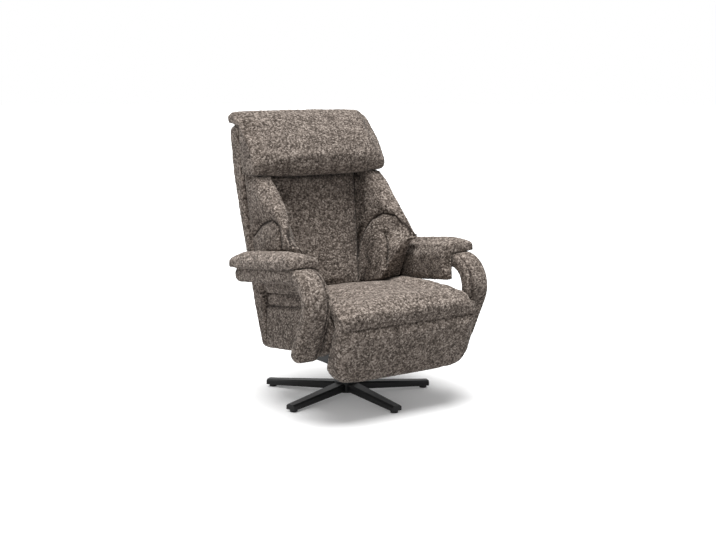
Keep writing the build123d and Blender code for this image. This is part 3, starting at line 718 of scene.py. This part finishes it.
@dataclass
class WingPad(Pad):
    """The right wing, thin at its front tip."""

    outer: float = -0.307
    tip_share: float = 0.5
    tip_rear: float = 0.12
    tip_front: float = -0.04
    tip_low: float = 0.575
    tip_high: float = 0.660

    def form(self, obj: bpy.types.Object) -> None:
        """Draws the inner face out towards the tip above the arm pad."""
        places = Bench.places(obj)
        x, y, z = places.T
        tip = ease(y, self.tip_rear, self.tip_front) * ease(z, self.tip_low, self.tip_high)
        places[:, 0] = self.outer + (x - self.outer) * (1 - (1 - self.tip_share) * tip)
        Bench.move(obj, places)


@dataclass
class LegrestPad(Pad):
    """The legrest, its lower edge full in the middle and bowed up to both ends."""

    drop: float = 0.012
    bow: float = 0.022
    droop: float = 0.018
    straight: float = 0.150
    half: float = 0.308
    lower_part: Point = (0.310, 0.190)
    upper_part: Point = (0.390, 0.450)

    def form(self, obj: bpy.types.Object) -> None:
        """Lowers the lower edge, raises it again towards the ends, and rounds the upper corners."""
        places = Bench.places(obj)
        x, _, z = places.T
        end = np.clip((np.abs(x) - self.straight) / (self.half - self.straight), 0, 1)
        low = (self.bow * end * end - self.drop) * ease(z, *self.lower_part)
        high = self.droop * end * end * ease(z, *self.upper_part)
        places[:, 2] = z + low - high
        Bench.move(obj, places)


def ease(values: np.ndarray, start: float, end: float) -> np.ndarray:
    """Rises smoothly from zero to one.

    Args:
        values: The values to ease.
        start: Where it is zero.
        end: Where it is one; may be below start.

    Returns:
        The eased values.
    """
    share = np.clip((values - start) / (end - start), 0, 1)
    return share * share * (3 - 2 * share)


@dataclass
class Assembly:
    """A group of pieces that share a body or a job."""

    pieces: list[bpy.types.Object] = field(default_factory=list)

    def build(self) -> None:
        """Makes the pieces; each assembly has its own."""
        raise NotImplementedError

    def dress(self, cover: bpy.types.Material) -> None:
        """Covers every piece with one material."""
        for piece in self.pieces:
            piece.data.materials.clear()
            piece.data.materials.append(cover)


@dataclass
class Seat(Assembly):
    """Seat cushion with side bolsters, and the padded sides of the seat box."""

    bolster_line: float = 0.172
    bolster_crown: float = 0.240
    front_half: float = 0.302

    def build(self) -> None:
        """Makes the cushion and the side panels."""
        rows: list[Seam] = []
        swells: list[Seam] = []
        for hand in (-1, 1):
            line = tuple((hand * x, y) for x, y in self.seam_line())
            rows.append(Seam(line, Drawing.TOP, UP, width=0.026, depth=0.010, shade=0.0))
            crown = ((hand * self.bolster_crown, 0.05), (hand * self.bolster_crown, -0.30))
            swells.append(Seam(crown, Drawing.TOP, UP, width=0.032, depth=-0.010, sewn=False, shade=0.0))
        fine = tuple(replace(row, width=0.0075, depth=0.006, shade=0.45) for row in rows)
        cushion = Pad(
            "seat_cushion_cover",
            "seat_cushion",
            "seat",
            voxel=0.0066,
            cap=0.016,
            fillers=(self.front_filler(),),
            valleys=(*rows, *swells),
            seams=fine,
        )
        self.pieces.append(cushion.build())
        panel = Pad(
            "side_panel_right",
            "seat_side_panel_right",
            "seat",
            voxel=0.005,
            rounding=6,
            fill=0.9,
            simulate=False,
        )
        self.pieces.extend(panel.pair())

    def front_filler(self) -> Filler:
        """Closes the corners under the front roll, where the legrest's cover begins."""
        front, rear, top = -0.408, -0.340, 0.415
        section = ((front, 0.367), (front, top), (rear, top), (rear, 0.375))
        return Filler(section, (-self.front_half, self.front_half))

    def seam_line(self) -> tuple[Point, ...]:
        """The line between the middle and a bolster, as width and depth."""
        start = self.bolster_line
        return ((start + 0.02, 0.13), (start, 0.0), (start, -0.16), (start + 0.006, -0.26))


@dataclass
class Legrest(Assembly):
    """Footrest cushion that hangs before the seat, its cover sewn on to the seat's front."""

    half: float = 0.306
    crest_half: float = 0.286
    front: float = -0.424
    fold_front: float = -0.418
    crest_front: float = -0.397
    inside: float = -0.362
    knee_high: float = 0.372
    fold: float = 0.424
    crest: float = 0.452
    overlap: float = 0.004
    bend_depth: float = -0.41
    bend_high: float = 0.376
    hinge_height: float = 0.335

    def build(self) -> None:
        """Makes the cushion and draws its upper edge up the seat's front."""
        span = (-self.half, self.half)
        crest_span = (-self.crest_half, self.crest_half)
        knee = ((-0.411, 0.315), (self.front, self.knee_high), (-0.375, self.knee_high), (-0.375, 0.315))
        rise_low = self.knee_high - self.overlap
        rise = (
            (self.front, rise_low),
            (self.fold_front, self.fold),
            (self.inside, self.fold),
            (self.inside, rise_low),
        )
        edge_low = self.fold - self.overlap
        edge = (
            (self.fold_front, edge_low),
            (self.crest_front, self.crest),
            (self.inside, self.crest),
            (self.inside, edge_low),
        )
        line = ((-0.30, 0.366), (0.30, 0.366))
        fine = Seam(line, Drawing.FRONT, FRONT_STEEP, width=0.006, depth=0.003, shade=0.4)
        cushion = LegrestPad(
            "legrest_cover",
            "legrest_cushion",
            "legrest",
            fillers=(Filler(knee, span), Filler(rise, span), Filler(edge, crest_span)),
            seams=(fine,),
            follows="seat",
            turn=((0.0, self.bend_depth, self.bend_high), (0.0, self.bend_depth, self.hinge_height)),
        )
        self.pieces.append(cushion.build())


@dataclass
class Back(Assembly):
    """Back shell with its centre panel and the two wings."""

    foot_half: float = 0.153
    top_half: float = 0.220
    foot_height: float = 0.434
    top_height: float = 0.862
    rim_half: float = 0.272
    rim_low: float = 0.24
    rim_high: float = 1.03

    def build(self) -> None:
        """Makes the shell, the panel and the wings."""
        rim = (
            (-self.rim_half, self.rim_low),
            (-self.rim_half, self.rim_high),
            (self.rim_half, self.rim_high),
            (self.rim_half, self.rim_low),
        )
        welt = Seam(rim, Drawing.FRONT, REAR, width=0.007, depth=0.005, shade=0.6)
        shell = Pad(
            "back_shell_cover",
            "back_shell",
            "back",
            voxel=0.009,
            rounding=4,
            proud=0.005,
            fill=0.95,
            seams=(welt,),
            simulate=False,
        )
        self.pieces.append(shell.build())
        panel = Pad(
            "back_panel",
            "back_centre_cushion",
            "back",
            rounding=6,
            cap=0.016,
            proud=0.006,
            seams=tuple(self.border(hand, 0.010, 0.010) for hand in (-1, 1)),
        )
        self.pieces.append(panel.build())
        wing = WingPad(
            "wing_right",
            "back_wing_right",
            "back",
            voxel=0.005,
            rounding=10,
            cap=0.016,
            proud=0.004,
            fillers=self.wing_fillers(),
            valleys=self.plump(),
            seams=(*self.leaf(), self.border(-1, 0.008, 0.006)),
        )
        self.pieces.extend(wing.pair())

    def border(self, hand: int, width: float, depth: float) -> Seam:
        """The line where the centre panel and a wing are sewn together.

        Args:
            hand: One for the left side, minus one for the right.
            width: Width of the groove.
            depth: Depth of the groove.

        Returns:
            The seam.
        """
        line = ((hand * self.foot_half, self.foot_height), (hand * self.top_half, self.top_height))
        return Seam(line, Drawing.FRONT, FRONT_RISING, width, depth, thread=0.005)

    def wing_fillers(self) -> tuple[Filler, ...]:
        """Bring the right wing's outer side down to the arm pad and its top up to the headrest."""
        down = ((-0.040, 0.612), (-0.040, 0.640), (0.135, 0.640), (0.135, 0.596))
        up = ((0.190, 0.845), (0.200, 0.872), (0.300, 0.886), (0.300, 0.845))
        return (Filler(down, (-0.305, -0.284)), Filler(up, (-0.306, -0.235)))

    def plump(self) -> tuple[Seam, ...]:
        """The fuller filling under the arch, on both faces of the right wing."""
        middle = ((0.105, 0.64), (0.095, 0.52))
        inner = Seam(middle, Drawing.SIDE, TO_THE_MIDDLE, width=0.055, depth=-0.012, sewn=False, shade=0.0)
        return (inner, replace(inner, facing=TO_THE_RIGHT))

    def leaf(self) -> tuple[Seam, ...]:
        """The pointed arch sewn into both faces of the right wing, as depth and height."""
        inner = (
            *((0.195, 0.45), (0.195, 0.56), (0.188, 0.593), (0.173, 0.644), (0.144, 0.684)),
            *((0.096, 0.712), (0.041, 0.705), (0.005, 0.673), (-0.04, 0.63)),
        )
        outer = ((0.255, 0.640), (0.186, 0.691), (0.106, 0.719), (0.045, 0.700), (0.03, 0.66), (0.03, 0.60))
        crease = ((0.067, 0.637), (0.049, 0.607), (0.028, 0.568), (0.02, 0.50))
        return (
            Seam(inner, Drawing.SIDE, TO_THE_MIDDLE, width=0.009, depth=0.012),
            Seam(outer, Drawing.SIDE, TO_THE_RIGHT, width=0.009, depth=0.012),
            Seam(crease, Drawing.SIDE, TO_THE_MIDDLE, width=0.008, depth=0.008, shade=0.7),
        )


@dataclass
class Headrest(Assembly):
    """Full-width pillow that tilts on the back."""

    def build(self) -> None:
        """Makes the pillow."""
        pillow = Pad("headrest_pillow", "headrest_cushion", "headrest", rounding=18, cap=0.016)
        self.pieces.append(pillow.build())


@dataclass
class Arms(Assembly):
    """Padded arm loops and the pads on them."""

    inner_edge: float = 0.332
    edge_low: float = 0.25
    edge_high: float = 0.60
    voxel: float = 0.0055

    def build(self) -> None:
        """Makes both loops and both pads."""
        edge = ((-self.inner_edge, self.edge_low), (-self.inner_edge, self.edge_high))
        seam = Seam(edge, Drawing.FRONT, FRONT_RISING, width=0.006, depth=0.004, shade=0.5)
        loop = Pad(
            "arm_loop_cover_right",
            "arm_loop_right",
            "seat",
            voxel=self.voxel,
            rounding=14,
            fill=0.9,
            seams=(seam,),
            simulate=False,
        )
        self.pieces.extend(loop.pair())
        pad = Pad("arm_pad_cover_right", "arm_pad_right", "seat", voxel=self.voxel, rounding=10, shrink=0.005)
        self.pieces.extend(pad.pair())


@dataclass
class Ironwork:
    """The solids that show as they are: base, carriage, boards and fittings."""

    finishes: dict[Slot, Finish] = field(
        default_factory=lambda: {
            Slot.BLACK_STEEL: CoatedSteel("black_coating", 0.48),
            Slot.BRIGHT_STEEL: CoatedSteel(
                "zinc_plate",
                0.32,
                (0.52, 0.53, 0.55),
                (0.66, 0.67, 0.69),
                metallic=1.0,
                grain=500.0,
                shine=0.5,
            ),
            Slot.PLYWOOD: GrainedWood("raw_plywood", 0.7),
            Slot.WEBBING: WovenBand("elastic_webbing", 0.85),
            Slot.GLIDE: CoatedSteel("glide_plastic", 0.55, (0.02, 0.02, 0.02), (0.035, 0.035, 0.035)),
            Slot.BUSH: CoatedSteel("bush_plastic", 0.5, (0.70, 0.68, 0.62), (0.78, 0.76, 0.71)),
        }
    )

    def dress(self, frame: dict[str, Any]) -> None:
        """Gives each solid that still shows the finish of its slot.

        Args:
            frame: The loaded frame.
        """
        made = {slot.value: finish.make() for slot, finish in self.finishes.items()}
        for name, obj in sorted(frame["nodes"].items()):
            if obj.hide_render:
                continue
            slot = obj.data.materials[0].name.split(".")[0]
            obj.data.materials[0] = made[slot]
            log.info("%s: %s", name, slot)


@dataclass
class Studio:
    """White floor and backdrop, soft light from above and the left, and the camera."""

    place: Place = (-2.4389, -3.6511, 1.2423)
    target: Place = (0.0377, -0.0056, 0.506)
    lens: float = 56.363
    sensor: float = 36.0
    floor_radius: float = 60.0
    ambient: float = 0.37
    lit: Place = (0, 0, 0.6)

    def build(self) -> None:
        """Makes floor, world, lamps and camera."""
        self.lay_floor()
        self.light_world()
        self.hang_lamp("overhead", "SUN", 4.7, (-0.25, -0.22, 4.0), math.radians(40))
        self.hang_lamp("left", "AREA", 13.0, (-2.9, -0.9, 1.3), 1.8)
        self.set_camera()
        bpy.context.scene.view_settings.view_transform = "Standard"

    def lay_floor(self) -> None:
        """Lays a wide round floor and marks it as studio."""
        bpy.ops.object.select_all(action="DESELECT")
        bpy.ops.mesh.primitive_circle_add(vertices=64, radius=self.floor_radius, fill_type="NGON")
        floor = bpy.context.object
        floor.name = "studio_floor"
        floor.data.materials.append(StudioFloor("studio_white").make())

    def light_world(self) -> None:
        """White where it is seen, a low even light where it isn't."""
        world = bpy.data.worlds.new("studio")
        bpy.context.scene.world = world
        world.use_nodes = True
        sheet = NodeSheet(world.node_tree)
        seen = straight_view(sheet)
        strength = seen * (1 - self.ambient) + self.ambient
        backdrop = sheet.node("ShaderNodeBackground", None, {"Color": (1, 1, 1, 1), "Strength": strength})
        sheet.node("ShaderNodeOutputWorld", None, {"Surface": backdrop})

    def hang_lamp(self, name: str, kind: str, power: float, place: Place, size: float) -> None:
        """Hangs a lamp that points at the chair.

        Args:
            name: The lamp's name.
            kind: Its type.
            power: Watts, or irradiance of a far lamp.
            place: Where it hangs.
            size: Side of its panel in metres, or the angle of a far lamp.
        """
        bpy.ops.object.light_add(type=kind, location=place)
        lamp = bpy.context.object
        lamp.name = name
        lamp.data.energy = power
        if kind == "SUN":
            lamp.data.angle = size
        else:
            lamp.data.size = size
        aim = Vector(self.lit) - Vector(place)
        lamp.rotation_euler = aim.to_track_quat("-Z", "Y").to_euler()

    def set_camera(self) -> None:
        """Sets the camera at the photograph's angle."""
        bpy.ops.object.camera_add(location=self.place)
        camera = bpy.context.object
        aim = Vector(self.target) - Vector(self.place)
        camera.rotation_euler = aim.to_track_quat("-Z", "Y").to_euler()
        camera.data.lens = self.lens
        camera.data.sensor_width = self.sensor
        bpy.context.scene.camera = camera


def clear_scene() -> None:
    """Removes whatever the empty file holds."""
    for obj in list(bpy.data.objects):
        bpy.data.objects.remove(obj)


def main() -> None:
    """Builds the assemblies in order and dresses them."""
    logging.basicConfig(level=logging.INFO, format="%(name)s: %(message)s")
    clear_scene()
    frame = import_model()
    bpy.ops.object.select_all(action="DESELECT")
    cover = LoopedPile("looped_pile").make()
    for assembly in (Seat(), Legrest(), Back(), Headrest(), Arms()):
        assembly.build()
        assembly.dress(cover)
    Ironwork().dress(frame)
    Studio().build()


if __name__ == "__main__":
    main()
